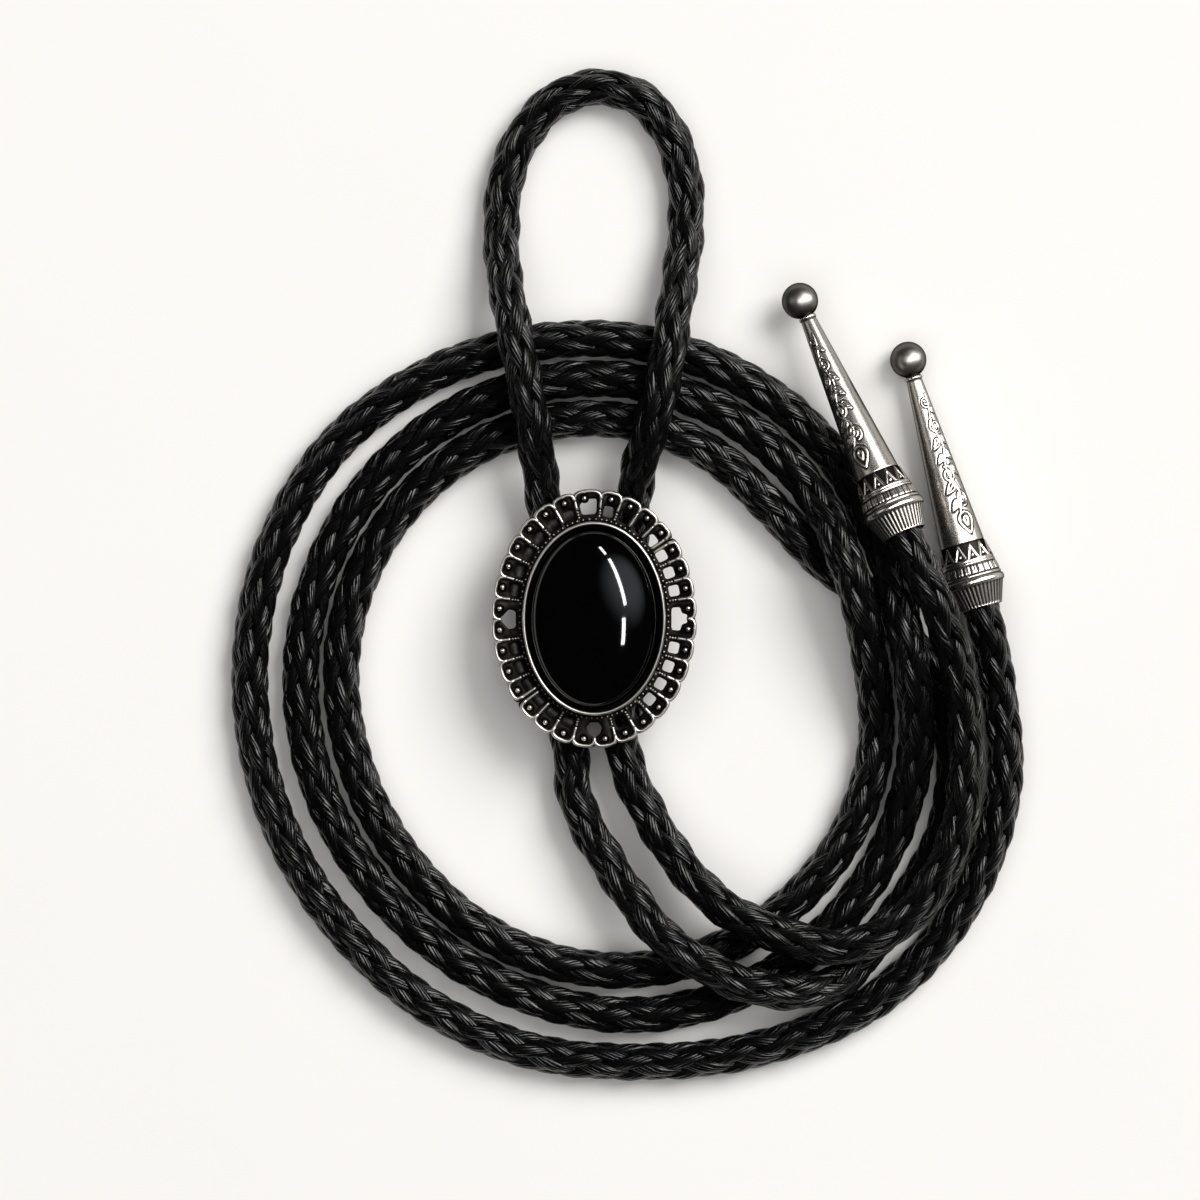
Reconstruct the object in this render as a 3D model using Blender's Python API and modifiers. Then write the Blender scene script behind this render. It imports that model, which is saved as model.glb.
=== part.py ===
"""Bolo tie: a braided leather cord, an oval slide with a black stone, and a cast metal tip on each cord end.

It lies flat as it was put down: the neck loop above the slide, the left tail wound into three loose turns,
and both tips beside each other at the right. +Z is up, +Y points to the neck loop, and the origin is on
the flat underside of the slide's clip, which rests on the surface.
"""

import math

import bmesh
import bpy
import numpy as np
from mathutils import Euler, Matrix, Vector

MM = 0.001

# Cord
CORD_DIAMETER = 5.0 * MM
CORD_BEVEL_LEVEL = 2          # eight sides
CORD_STEP = 12.5 * MM         # between the points of a tube
NECK_STEP = 9.5 * MM          # the neck loop bends more tightly
GAP = 0.3 * MM                # between pieces that touch
SURFACE_LIFT = 0.05 * MM      # lowest point of the cord above the surface

# Slide: clip, setting and stone
CORD_SPREAD = 9.6 * MM        # between the two cords inside the clip
CORD_CLEARANCE = 0.3 * MM     # round the cord in the clip and in the tips
CLIP_FLOOR = 1.6 * MM
CLIP_WALL = 0.8 * MM
CLIP_LENGTH = 9.0 * MM
CLIP_MIDDLE_Y = -1.5 * MM
CLIP_ROUNDING = 1.2 * MM
OPENWORK_SIDE = 4.35 * MM     # from the bezel to the setting's edge, left and right
OPENWORK_END = 4.55 * MM      # the same at the top and bottom
PLATE_THICKNESS = 1.0 * MM
PETALS = 32
PETAL_POINTS = 6
PETAL_BULGE = 0.35 * MM
BORDER_WIDTH = 0.6 * MM
BORDER_HEIGHT = 0.8 * MM      # above the plate
BORDER_INSET = 0.05 * MM      # behind the plate's own edge
PIERCING_RADIUS = 0.65 * MM
PIERCING_INSET = 2.85 * MM    # from the setting's edge to the middle of a hole
PIERCING_POINTS = 8
WINDOW_HALF = (1.0 * MM, 1.6 * MM)    # a double petal's hole, across and along the edge
STONE_WIDTH = 18.0 * MM
STONE_LENGTH = 25.0 * MM
STONE_EDGE = 1.0 * MM
STONE_DOME = 4.2 * MM
STONE_RINGS = 9
BEZEL_WALL = 0.7 * MM
BEZEL_HEIGHT = 2.2 * MM       # above the plate
OVAL_POINTS = 64
OVERLAP = 0.3 * MM            # of joined metal before it is united
FINE_STEPS = 2881             # points of a dense curve that others are read from

# Tips, measured from the open end towards the ball
TIP_LENGTH = 38.8 * MM
TIP_BALL_RADIUS = 2.55 * MM
TIP_NECK_RADIUS = 1.05 * MM
TIP_CONE_RADIUS = 3.15 * MM   # where the cone meets the band
TIP_BAND_RADIUS = 4.15 * MM   # where the band meets the ring
TIP_RING_RADIUS = 4.45 * MM
TIP_MOUTH_WALL = 0.3 * MM
TIP_SKIRT = 3.1 * MM          # length of the tapered skirt
TIP_RING = 1.0 * MM
TIP_BAND = 5.2 * MM
TIP_STEP = (0.05 * MM, 0.3 * MM)      # the small shoulder where the cone meets the band, out and down
TIP_SOCKET = 6.0 * MM         # depth of the hole for the cord
CORD_IN_TIP = 5.0 * MM
CORD_BEFORE_TIP = 3.0 * MM    # straight stretch outside the tip
CORD_BEYOND_CLIP = 1.5 * MM   # straight stretch outside the clip
BALL_RINGS = 8

# Facets and welding
ROUND_SIDES = 32              # of a turned tip and of a channel in the clip
CORNER_STEPS = 4              # of each rounded corner of the clip
WELD = 0.001 * MM             # points closer than this are one

# Where the middle of each tip's open end lies, its heading from +X in degrees, and how far its ring and
# its ball are above the surface, in millimetres; the left tip lies on the coil's third turn
TIP_LEFT = {"mouth": (43.1, 11.7), "heading": 113.6, "under_ring": 6.1, "under_ball": 2.35}
TIP_RIGHT = {"mouth": (54.1, 1.5), "heading": 106.1, "under_ring": 0.1, "under_ball": 0.1}

# The cord's route outside the clip and the tips, chosen point by point, in millimetres
NECK_ROUTE = (
    (-6.2, 12.0, 4.6), (-7.3, 18.5, 5.9), (-8.4, 26.4, 8.6), (-9.9, 34.0, 8.6), (-11.5, 42.1, 7.6),
    (-12.7, 49.1, 4.8), (-13.0, 55.2, 2.8), (-12.0, 62.8, 2.5), (-9.2, 68.7, 2.5), (-4.8, 73.0, 2.5),
    (0.9, 74.5, 2.5), (6.4, 72.9, 2.5), (10.3, 68.6, 2.5), (12.5, 62.5, 2.5), (12.9, 55.2, 2.8),
    (12.2, 48.8, 4.8), (11.1, 42.1, 7.6), (10.1, 35.5, 8.6), (8.3, 27.9, 8.8), (6.5, 21.8, 7.2),
    (5.6, 17.3, 5.3), (5.0, 10.0, 4.5),
)
RIGHT_TAIL_ROUTE = (
    (3.9, -17.7, 4.3), (5.6, -23.2, 4.4), (8.5, -28.8, 4.8), (12.5, -34.8, 5.8), (17.9, -40.1, 7.8),
    (23.5, -43.1, 8.5), (29.7, -45.2, 8.6), (35.0, -45.7, 8.6), (39.3, -44.4, 8.5), (44.0, -41.2, 8.3),
    (47.5, -36.6, 8.3), (50.4, -30.5, 8.3), (51.7, -23.3, 8.3), (51.8, -17.0, 8.5), (51.3, -10.6, 9.0),
    (49.9, -4.3, 10.0), (47.9, 1.5, 11.1),
)
LEFT_TAIL_START = (
    (-3.4, -17.7, 4.2), (-2.5, -25.4, 3.9), (1.3, -33.0, 4.6), (6.4, -40.5, 6.7), (9.9, -44.7, 8.1),
    (15.4, -48.4, 8.5), (22.5, -51.4, 8.6), (28.4, -52.0, 7.5), (34.2, -50.7, 4.7), (38.4, -46.4, 2.6),
    (43.0, -40.8, 2.5), (46.2, -35.9, 2.5), (49.0, -30.0, 2.5), (50.3, -23.8, 2.5), (50.5, -18.1, 2.5),
    (48.5, -11.0, 2.5), (44.2, -3.4, 2.5), (38.4, 3.1, 2.5), (31.7, 8.3, 2.5),
)
LEFT_TAIL_END = ((57.7, -20.5, 2.5), (56.8, -11.0, 2.8), (55.9, -5.5, 3.6))

# The coil of the left tail: its middle, and the radius of each turn in millimetres at each angle in degrees
COIL_MIDDLE = (-1.3, -11.4)
COIL_COLUMNS = ("angle", "first_turn", "second_turn", "third_turn")
COIL_ROWS = (
    (45, 37.5, 43.3, 48.9),
    (75, 39.4, 45.1, 50.6),
    (105, 39.0, 44.5, 50.5),
    (135, 37.0, 42.5, 50.0),
    (165, 34.9, 40.5, 47.7),
    (195, 33.4, 39.3, 46.4),
    (225, 33.8, 39.4, 46.8),
    (255, 36.2, 41.8, 49.3),
    (285, 38.9, 45.4, 52.2),
    (315, 40.6, 47.0, 58.7),
    (345, 41.5, 47.1, 60.6),
    (375, 40.2, 45.6, 57.6),
)
COIL = [dict(zip(COIL_COLUMNS, row)) for row in COIL_ROWS]
COIL_STEP = 18                # degrees between the coil's points
COIL_END = 2 * 360 + 333      # degrees, where the third turn leaves for its tip
# The inner two turns rise over the cord that comes in below them: angle of the crest in degrees
CREST_ANGLES = (360 + 23, 720 + 9)
CREST_HALF_WIDTH = 32         # degrees
CREST_HEIGHT = 6.6            # millimetres


def clear_scene():
    for item in list(bpy.data.objects):
        bpy.data.objects.remove(item, do_unlink=True)


def collection(name):
    made = bpy.data.collections.new(name)
    bpy.context.scene.collection.children.link(made)
    return made


def material(name, colour, metallic, roughness):
    made = bpy.data.materials.new(name)
    made.use_nodes = True
    shader = made.node_tree.nodes["Principled BSDF"]
    shader.inputs["Base Color"].default_value = (*colour, 1.0)
    shader.inputs["Metallic"].default_value = metallic
    shader.inputs["Roughness"].default_value = roughness
    return made


def add_object(name, data, group, finish=None):
    made = bpy.data.objects.new(name, data)
    group.objects.link(made)
    if finish:
        made.data.materials.append(finish)
    return made


def baked(source, name, group, finish=None):
    """A mesh object of the evaluated source, with loose caps welded; the source is removed."""
    bpy.context.view_layer.update()
    seen = source.evaluated_get(bpy.context.evaluated_depsgraph_get())
    mesh = bpy.data.meshes.new_from_object(seen)
    mesh.name = name
    place = source.matrix_world.copy()
    bpy.data.objects.remove(source, do_unlink=True)
    work = bmesh.new()
    work.from_mesh(mesh)
    bmesh.ops.remove_doubles(work, verts=work.verts, dist=WELD)
    bmesh.ops.recalc_face_normals(work, faces=work.faces)
    work.to_mesh(mesh)
    work.free()
    mesh.materials.clear()
    made = add_object(name, mesh, group, finish)
    made.matrix_world = place
    return made


def outline_plate(name, outlines, bottom, thickness, group):
    """A flat plate between closed outlines; the second and later ones are holes in the first."""
    curve = bpy.data.curves.new(name, "CURVE")
    curve.dimensions = "2D"
    curve.fill_mode = "BOTH"
    curve.extrude = thickness / 2
    for outline in outlines:
        spline = curve.splines.new("POLY")
        spline.points.add(len(outline) - 1)
        for point, (x, y) in zip(spline.points, outline):
            point.co = (x, y, 0, 1)
        spline.use_cyclic_u = True
    flat = add_object(name, curve, group)
    flat.location.z = bottom + thickness / 2
    return baked(flat, name, group)


def turned(name, profile, sides, group, finish):
    """A solid turned about Z from a profile of (radius, height), given from top to bottom outside."""
    mesh = bpy.data.meshes.new(name)
    points = [(radius, 0, height) for radius, height in profile]
    mesh.from_pydata(points, [(i, i + 1) for i in range(len(points) - 1)], [])
    made = add_object(name, mesh, group, finish)
    screw = made.modifiers.new("turn", "SCREW")
    screw.steps = sides
    screw.render_steps = sides
    screw.use_merge_vertices = True
    screw.merge_threshold = WELD
    screw.use_smooth_shade = True
    return made


def unite(body, other):
    """Solder another metal piece on; its mesh leaves the scene once the union is applied."""
    union = body.modifiers.new("join " + other.name, "BOOLEAN")
    union.operation = "UNION"
    union.object = other


def oval(half_x, half_y, count):
    steps = [2 * math.pi * i / count for i in range(count)]
    return [(half_x * math.cos(a), half_y * math.sin(a)) for a in steps]


def even_oval(half_x, half_y, count, phase=0.0):
    """Points at equal distances round an oval, each with its outward direction."""
    fine = np.linspace(0, 2 * math.pi, FINE_STEPS)
    line = np.column_stack((half_x * np.cos(fine), half_y * np.sin(fine)))
    run = np.concatenate(([0], np.cumsum(np.linalg.norm(np.diff(line, axis=0), axis=1))))
    wanted = (np.arange(count) + phase) / count * run[-1]
    angles = np.interp(wanted, run, fine)
    points = np.column_stack((half_x * np.cos(angles), half_y * np.sin(angles)))
    out = np.column_stack((half_y * np.cos(angles), half_x * np.sin(angles)))
    out /= np.linalg.norm(out, axis=1)[:, None]
    return points, out


def bezel_inside():
    """Half the width and half the length of the opening that the stone sits in."""
    return STONE_WIDTH / 2 + GAP, STONE_LENGTH / 2 + GAP


def setting_edge(inset):
    """Half the width and half the length of the setting, that far inside its edge."""
    half_width, half_length = bezel_inside()
    return (half_width + BEZEL_WALL + OPENWORK_SIDE - inset,
            half_length + BEZEL_WALL + OPENWORK_END - inset)


def scalloped_outline(inset):
    """The setting's edge: one shallow bulge for each petal."""
    count = PETALS * PETAL_POINTS
    points, out = even_oval(*setting_edge(PETAL_BULGE + inset), count)
    share = (np.arange(count) % PETAL_POINTS) / PETAL_POINTS
    return points + out * (PETAL_BULGE * np.sin(math.pi * share))[:, None]


def piercings():
    """A round hole in each petal, and one larger window where two petals meet on an axis of the oval."""
    side, end = setting_edge(PIERCING_INSET)
    points, _ = even_oval(side, end, PETALS, 0.5)
    quarter = PETALS // 4
    paired = {k for q in range(4) for k in (q * quarter, (q * quarter - 1) % PETALS)}
    holes = []
    for k in range(PETALS):
        if k not in paired:
            ring = oval(PIERCING_RADIUS, PIERCING_RADIUS, PIERCING_POINTS)
            holes.append([(points[k][0] + x, points[k][1] + y) for x, y in ring])
    across, along = WINDOW_HALF
    for x, y in ((side, 0), (-side, 0)):
        holes.append([(x + u, y + v) for u, v in oval(across, along, PIERCING_POINTS)])
    for x, y in ((0, end), (0, -end)):
        holes.append([(x + u, y + v) for u, v in oval(along, across, PIERCING_POINTS)])
    return holes


def clip_top():
    return CLIP_FLOOR + CORD_DIAMETER + 2 * CORD_CLEARANCE + CLIP_WALL


def plate_bottom():
    return clip_top() + GAP


def build_setting(group, finish):
    """Pierced plate, scalloped border and bezel wall, cast in one."""
    bottom = plate_bottom()
    top = bottom + PLATE_THICKNESS
    edge = scalloped_outline(0)
    body = outline_plate("setting", [edge, *piercings()], bottom, PLATE_THICKNESS, group)
    body.data.materials.append(finish)
    border = outline_plate(
        "border", [scalloped_outline(BORDER_INSET), scalloped_outline(BORDER_WIDTH)],
        top - OVERLAP, BORDER_HEIGHT + OVERLAP, group)
    inside = bezel_inside()
    outside = (inside[0] + BEZEL_WALL, inside[1] + BEZEL_WALL)
    bezel = outline_plate(
        "bezel", [oval(*outside, OVAL_POINTS), oval(*inside, OVAL_POINTS)],
        top - OVERLAP, BEZEL_HEIGHT + OVERLAP, group)
    for ring in (border, bezel):
        unite(body, ring)
    whole = baked(body, "setting", group, finish)
    for ring in (border, bezel):
        bpy.data.objects.remove(ring, do_unlink=True)
    return whole


def build_stone(group, finish):
    """An oval cabochon: a short upright edge under a dome, on a flat back."""
    base = plate_bottom() + PLATE_THICKNESS + GAP
    radius = STONE_WIDTH / 2
    profile = [(0, STONE_EDGE + STONE_DOME)]
    for ring in range(1, STONE_RINGS + 1):
        lean = math.pi / 2 * ring / STONE_RINGS
        profile.append((radius * math.sin(lean), STONE_EDGE + STONE_DOME * math.cos(lean)))
    profile += [(radius, 0), (0, 0)]
    stone = turned("stone", profile, OVAL_POINTS, group, finish)
    stone.location.z = base
    stone.scale.y = STONE_LENGTH / STONE_WIDTH
    return stone


def build_clip(group, finish):
    """The hidden clip: one block with a round channel for each cord and a flat underside."""
    channel = CORD_DIAMETER / 2 + CORD_CLEARANCE
    half_width = CORD_SPREAD / 2 + channel + CLIP_WALL
    height = clip_top()
    corners = []
    for turn, (x, y) in enumerate(((1, 1), (-1, 1), (-1, -1), (1, -1))):
        for step in range(CORNER_STEPS + 1):
            a = math.pi / 2 * (turn + step / CORNER_STEPS)
            corners.append((x * (half_width - CLIP_ROUNDING) + CLIP_ROUNDING * math.cos(a),
                            y * (height / 2 - CLIP_ROUNDING) + CLIP_ROUNDING * math.sin(a)))
    level = CLIP_FLOOR + channel - height / 2
    channels = []
    for side in (-1, 1):
        ring = oval(channel, channel, ROUND_SIDES)
        channels.append([(side * CORD_SPREAD / 2 + x, level + y) for x, y in ring])
    clip = outline_plate("cord_clip", [corners, *channels], -CLIP_LENGTH / 2, CLIP_LENGTH, group)
    clip.data.materials.append(finish)
    upright = Matrix.Rotation(math.pi / 2, 4, "X")
    clip.matrix_world = Matrix.Translation((0, CLIP_MIDDLE_Y, height / 2)) @ upright
    return clip


def tip_profile():
    """Ball, neck, cone, band, ring, skirt and socket, from the ball's end to the socket's end."""
    top = TIP_LENGTH
    ball = TIP_BALL_RADIUS
    profile = [(0, top)]
    meets = math.pi - math.asin(TIP_NECK_RADIUS / ball)
    for ring in range(1, BALL_RINGS + 1):
        lean = meets * ring / BALL_RINGS
        profile.append((ball * math.sin(lean), top - ball + ball * math.cos(lean)))
    ring_top = TIP_SKIRT + TIP_RING
    mouth = CORD_DIAMETER / 2 + CORD_CLEARANCE
    profile += [
        (TIP_CONE_RADIUS, ring_top + TIP_BAND),
        (TIP_CONE_RADIUS + TIP_STEP[0], ring_top + TIP_BAND - TIP_STEP[1]),
        (TIP_BAND_RADIUS, ring_top),
        (TIP_RING_RADIUS, TIP_SKIRT + TIP_RING * 3 / 4),
        (TIP_RING_RADIUS, TIP_SKIRT + TIP_RING / 4),
        (TIP_BAND_RADIUS, TIP_SKIRT),
        (mouth + TIP_MOUTH_WALL, 0),
        (mouth, 0),
        (mouth, TIP_SOCKET),
        (0, TIP_SOCKET),
    ]
    return profile


def tip_frame(place):
    """The tip's own frame: the middle of its open end, with +Z along it to the ball, down its slope."""
    ring_at = TIP_SKIRT + TIP_RING / 2
    ball_at = TIP_LENGTH - TIP_BALL_RADIUS
    ring_height = TIP_RING_RADIUS + place["under_ring"] * MM
    ball_height = TIP_BALL_RADIUS + place["under_ball"] * MM
    slope = math.asin((ring_height - ball_height) / (ball_at - ring_at))
    turn = Euler((0, math.pi / 2 + slope, math.radians(place["heading"]))).to_matrix().to_4x4()
    x, y = place["mouth"]
    return Matrix.Translation((x * MM, y * MM, ring_height + ring_at * math.sin(slope))) @ turn


def build_tip(name, place, group, finish):
    tip = turned(name, tip_profile(), ROUND_SIDES, group, finish)
    tip.matrix_world = tip_frame(place)
    return tip


def cord_in_tip(place):
    """A cord's last two points, straight along a tip: just outside its open end, and inside it."""
    frame = tip_frame(place)
    return [tuple(frame @ Vector((0, 0, along)) / MM) for along in (-CORD_BEFORE_TIP, CORD_IN_TIP)]


def cord_in_clip(side, towards):
    """A cord's first two points in millimetres: in the clip's middle, and just past its end."""
    x = side * CORD_SPREAD / 2 / MM
    z = (CLIP_FLOOR + CORD_CLEARANCE + CORD_DIAMETER / 2) / MM
    far = CLIP_LENGTH / 2 + CORD_BEYOND_CLIP
    return [(x, (CLIP_MIDDLE_Y + towards * along) / MM, z) for along in (GAP / 2, far)]


def smooth_curve(points):
    """A dense smooth curve through chosen points, no lower than the cord can lie."""
    knots = np.array([tuple(p) for p in points]) * MM
    run = np.concatenate(([0], np.cumsum(np.linalg.norm(np.diff(knots, axis=0), axis=1))))
    slope = np.gradient(knots, run, axis=0)
    at = np.linspace(0, run[-1], FINE_STEPS)
    span = np.clip(np.searchsorted(run, at, side="right") - 1, 0, len(knots) - 2)
    width = (run[span + 1] - run[span])[:, None]
    t = (at - run[span])[:, None] / width
    curve = ((1 + 2 * t) * (1 - t) ** 2 * knots[span] + t * (1 - t) ** 2 * width * slope[span]
             + t * t * (3 - 2 * t) * knots[span + 1] + t * t * (t - 1) * width * slope[span + 1])
    curve[:, 2] = np.maximum(curve[:, 2], CORD_DIAMETER / 2 + SURFACE_LIFT)
    return curve


def spaced(curve, step):
    """Points at equal distances along a dense curve, with both ends."""
    run = np.concatenate(([0], np.cumsum(np.linalg.norm(np.diff(curve, axis=0), axis=1))))
    at = np.linspace(0, run[-1], max(2, round(run[-1] / step) + 1))
    return np.column_stack([np.interp(at, run, curve[:, axis]) for axis in range(3)])


def coil_radius(angle):
    """Radius at an angle counted on from the first turn, read smoothly between the table's rows."""
    turns = COIL_COLUMNS[1:]
    angles = [row["angle"] + 360 * turn for turn in range(len(turns)) for row in COIL]
    radii = [row[name] for name in turns for row in COIL]
    slopes = np.gradient(radii, angles)
    i = min(max(int(np.searchsorted(angles, angle, side="right")) - 1, 0), len(angles) - 2)
    width = angles[i + 1] - angles[i]
    t = (angle - angles[i]) / width
    return ((1 + 2 * t) * (1 - t) ** 2 * radii[i] + t * (1 - t) ** 2 * width * slopes[i]
            + t * t * (3 - 2 * t) * radii[i + 1] + t * t * (t - 1) * width * slopes[i + 1])


def coil_point(angle):
    """A point of the coil in millimetres; a turn rises where it crosses over the cord that comes in."""
    height = CORD_DIAMETER / MM / 2
    for crest in CREST_ANGLES:
        away = abs(angle - crest) / CREST_HALF_WIDTH
        if away < 1:
            height += CREST_HEIGHT * (0.5 + 0.5 * math.cos(math.pi * away))
    radius = coil_radius(angle)
    turn = math.radians(angle)
    return (COIL_MIDDLE[0] + radius * math.cos(turn), COIL_MIDDLE[1] + radius * math.sin(turn), height)


def tube(name, points, group, finish):
    """The cord's plain solid along its route."""
    curve = bpy.data.curves.new(name, "CURVE")
    curve.dimensions = "3D"
    curve.bevel_depth = CORD_DIAMETER / 2
    curve.bevel_resolution = CORD_BEVEL_LEVEL
    curve.use_fill_caps = True
    spline = curve.splines.new("POLY")
    spline.points.add(len(points) - 1)
    for point, place in zip(spline.points, points):
        point.co = (*place, 1)
    cord = add_object(name, curve, group)
    return baked(cord, name, group, finish)


def neck_points():
    """Out of the clip's left channel, round the neck and back into the right one."""
    inside, beyond = cord_in_clip(-1, 1)
    last_inside, last_beyond = cord_in_clip(1, 1)
    loop = spaced(smooth_curve([beyond, *NECK_ROUTE, last_beyond]), NECK_STEP)
    return [np.array(inside) * MM, *loop, np.array(last_inside) * MM]


def right_tail_points():
    """Down from the slide, over the coil, and up to the left tip."""
    inside, beyond = cord_in_clip(1, -1)
    before, last = cord_in_tip(TIP_LEFT)
    tail = spaced(smooth_curve([beyond, *RIGHT_TAIL_ROUTE, before]), CORD_STEP)
    return [np.array(inside) * MM, *tail, np.array(last) * MM]


def left_tail_points():
    """Down from the slide, three turns of coil read at equal angles, and up to the right tip."""
    inside, beyond = cord_in_clip(-1, -1)
    before, last = cord_in_tip(TIP_RIGHT)
    coil = [coil_point(angle) for angle in range(COIL[0]["angle"], COIL_END + 1, COIL_STEP)]
    start = spaced(smooth_curve([beyond, *LEFT_TAIL_START, coil[0]]), CORD_STEP)
    turns = np.array(coil) * MM
    turns[:, 2] += SURFACE_LIFT
    end = spaced(smooth_curve([coil[-1], *LEFT_TAIL_END, before]), CORD_STEP)
    return [np.array(inside) * MM, *start[:-1], *turns, *end[1:], np.array(last) * MM]


def build_cords(group, finish):
    tube("cord_neck", neck_points(), group, finish)
    tube("cord_right_tail", right_tail_points(), group, finish)
    tube("cord_left_tail", left_tail_points(), group, finish)


def main():
    clear_scene()
    group = collection("bolo_tie")
    silver = (0.46, 0.44, 0.41)
    build_setting(group, material("setting_silver", silver, 1.0, 0.3))
    build_stone(group, material("black_stone", (0.006, 0.006, 0.007), 0.0, 0.06))
    build_clip(group, material("clip_steel", (0.5, 0.5, 0.5), 1.0, 0.35))
    build_tip("tip_left", TIP_LEFT, group, material("tip_left_silver", silver, 1.0, 0.28))
    build_tip("tip_right", TIP_RIGHT, group, material("tip_right_silver", silver, 1.0, 0.28))
    build_cords(group, material("black_leather", (0.012, 0.012, 0.012), 0.0, 0.38))


main()
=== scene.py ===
"""Looks of the bolo tie: braided cords, an openwork slide with its stone, cast tips and a plain studio."""

import math

import bpy
import numpy as np
from mathutils import Euler, Matrix, Vector


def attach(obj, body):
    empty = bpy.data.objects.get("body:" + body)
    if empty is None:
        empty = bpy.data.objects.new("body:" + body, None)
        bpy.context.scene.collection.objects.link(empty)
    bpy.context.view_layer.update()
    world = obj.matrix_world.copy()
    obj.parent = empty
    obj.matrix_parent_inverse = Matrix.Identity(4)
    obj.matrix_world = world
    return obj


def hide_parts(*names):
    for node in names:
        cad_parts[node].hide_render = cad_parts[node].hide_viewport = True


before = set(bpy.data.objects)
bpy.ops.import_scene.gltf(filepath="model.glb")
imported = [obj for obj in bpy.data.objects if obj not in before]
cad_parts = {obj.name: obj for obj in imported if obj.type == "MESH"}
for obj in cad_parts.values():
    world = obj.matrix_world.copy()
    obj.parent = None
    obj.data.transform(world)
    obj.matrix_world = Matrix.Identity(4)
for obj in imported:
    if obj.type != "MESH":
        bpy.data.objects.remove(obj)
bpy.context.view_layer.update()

MM = 0.001
UP = (0.0, 0.0, 1.0)

# The view: the photograph's middle on the surface, the width that it covers and the camera's distance
VIEW_MIDDLE = (0.84 * MM, 2.59 * MM, 4.0 * MM)
VIEW_WIDTH = 168.0 * MM
VIEW_DISTANCE = 900.0 * MM
SENSOR = 36.0

# Cord, with the places of the clip and of the tips that it enters
CORD_DIAMETER = 5.0 * MM
SURFACE_LIFT = 0.05 * MM
GAP = 0.3 * MM
CORD_SPREAD = 9.6 * MM
CORD_CLEARANCE = 0.3 * MM
CLIP_FLOOR = 1.6 * MM
CLIP_LENGTH = 9.0 * MM
CLIP_MIDDLE_Y = -1.5 * MM
CORD_BEYOND_CLIP = 1.5 * MM
CORD_IN_TIP = 5.0 * MM
CORD_BEFORE_TIP = 3.0 * MM

# Tip, measured from its open end towards the ball
TIP_LENGTH = 38.8 * MM
TIP_BALL_RADIUS = 2.55 * MM
TIP_NECK_RADIUS = 1.05 * MM
TIP_CONE_RADIUS = 3.15 * MM
TIP_BAND_RADIUS = 4.15 * MM
TIP_RING_RADIUS = 4.45 * MM
TIP_SKIRT = 3.1 * MM
TIP_RING = 1.0 * MM
TIP_BAND = 5.2 * MM
TIP_SOCKET = 6.0 * MM
TIP_LEFT = {"mouth": (43.1, 11.7), "heading": 113.6, "under_ring": 6.1, "under_ball": 2.35}
TIP_RIGHT = {"mouth": (54.1, 1.5), "heading": 106.1, "under_ring": 0.1, "under_ball": 0.1}

# The cord's route outside the clip and the tips, in millimetres
NECK_ROUTE = (
    (-6.2, 12.0, 4.6), (-7.3, 18.5, 5.9), (-8.4, 26.4, 8.6), (-9.9, 34.0, 8.6), (-11.5, 42.1, 7.6),
    (-12.7, 49.1, 4.8), (-13.0, 55.2, 2.8), (-12.0, 62.8, 2.5), (-9.2, 68.7, 2.5), (-4.8, 73.0, 2.5),
    (0.9, 74.5, 2.5), (6.4, 72.9, 2.5), (10.3, 68.6, 2.5), (12.5, 62.5, 2.5), (12.9, 55.2, 2.8),
    (12.2, 48.8, 4.8), (11.1, 42.1, 7.6), (10.1, 35.5, 8.6), (8.3, 27.9, 8.8), (6.5, 21.8, 7.2),
    (5.6, 17.3, 5.3), (5.0, 10.0, 4.5),
)
RIGHT_TAIL_ROUTE = (
    (3.9, -17.7, 4.3), (5.6, -23.2, 4.4), (8.5, -28.8, 4.8), (12.5, -34.8, 5.8), (17.9, -40.1, 7.8),
    (23.5, -43.1, 8.5), (29.7, -45.2, 8.6), (35.0, -45.7, 8.6), (39.3, -44.4, 8.5), (44.0, -41.2, 8.3),
    (47.5, -36.6, 8.3), (50.4, -30.5, 8.3), (51.7, -23.3, 8.3), (51.8, -17.0, 8.5), (51.3, -10.6, 9.0),
    (49.9, -4.3, 10.0), (47.9, 1.5, 11.1),
)
LEFT_TAIL_START = (
    (-3.4, -17.7, 4.2), (-2.5, -25.4, 3.9), (1.3, -33.0, 4.6), (6.4, -40.5, 6.7), (9.9, -44.7, 8.1),
    (15.4, -48.4, 8.5), (22.5, -51.4, 8.6), (28.4, -52.0, 7.5), (34.2, -50.7, 4.7), (38.4, -46.4, 2.6),
    (43.0, -40.8, 2.5), (46.2, -35.9, 2.5), (49.0, -30.0, 2.5), (50.3, -23.8, 2.5), (50.5, -18.1, 2.5),
    (48.5, -11.0, 2.5), (44.2, -3.4, 2.5), (38.4, 3.1, 2.5), (31.7, 8.3, 2.5),
)
LEFT_TAIL_END = ((57.7, -20.5, 2.5), (56.8, -11.0, 2.8), (55.9, -5.5, 3.6))

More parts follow.
